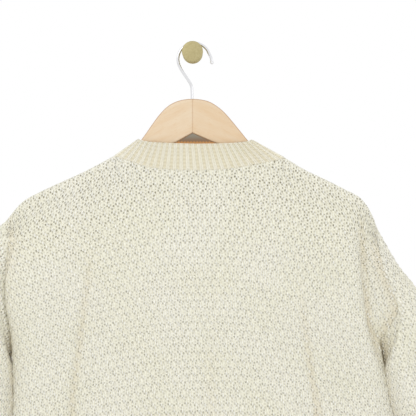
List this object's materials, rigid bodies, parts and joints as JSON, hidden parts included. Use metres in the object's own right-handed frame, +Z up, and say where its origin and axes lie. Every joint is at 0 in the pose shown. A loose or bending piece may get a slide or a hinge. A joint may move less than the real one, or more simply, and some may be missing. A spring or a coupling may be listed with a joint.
{
  "type": "cardigan on a hanger on a wall knob",
  "caption": "Chunky knitted cardigan with ribbed neckband, hem, cuffs and button bands, hanging back outwards from a wooden hanger whose wire hook is over a round wall knob.",
  "frame": {"origin": "centre of the knob's flat back face, on the wall", "axes": "+Z up, +Y into the wall, the room and the cardigan's back at -Y, the wearer's left at -X"},
  "size_m": [0.7658, 0.0736, 0.8261],
  "materials": {
    "knit": "thick cream wool in double moss stitch",
    "rib": "cream wool in 1x1 rib",
    "horn": "polished horn",
    "wood": "pale beech, satin",
    "chrome": "bright plated wire",
    "brass": "brushed pale brass"
  },
  "bodies": {
    "root": {"back": "knit", "front_left": "knit", "front_right": "knit", "sleeve_left": "knit", "sleeve_right": "knit", "neckband": "rib", "welt_back": "rib", "welt_front_left": "rib", "welt_front_right": "rib", "cuff_left": "rib", "cuff_right": "rib", "button_band_left": "rib", "button_band_right": "rib", "button_1": "horn", "button_2": "horn", "button_3": "horn", "button_4": "horn", "button_5": "horn", "button_6": "horn", "hanger_board": "wood", "hanger_hook": "chrome", "wall_knob": "brass"}
  },
  "joints": []
}
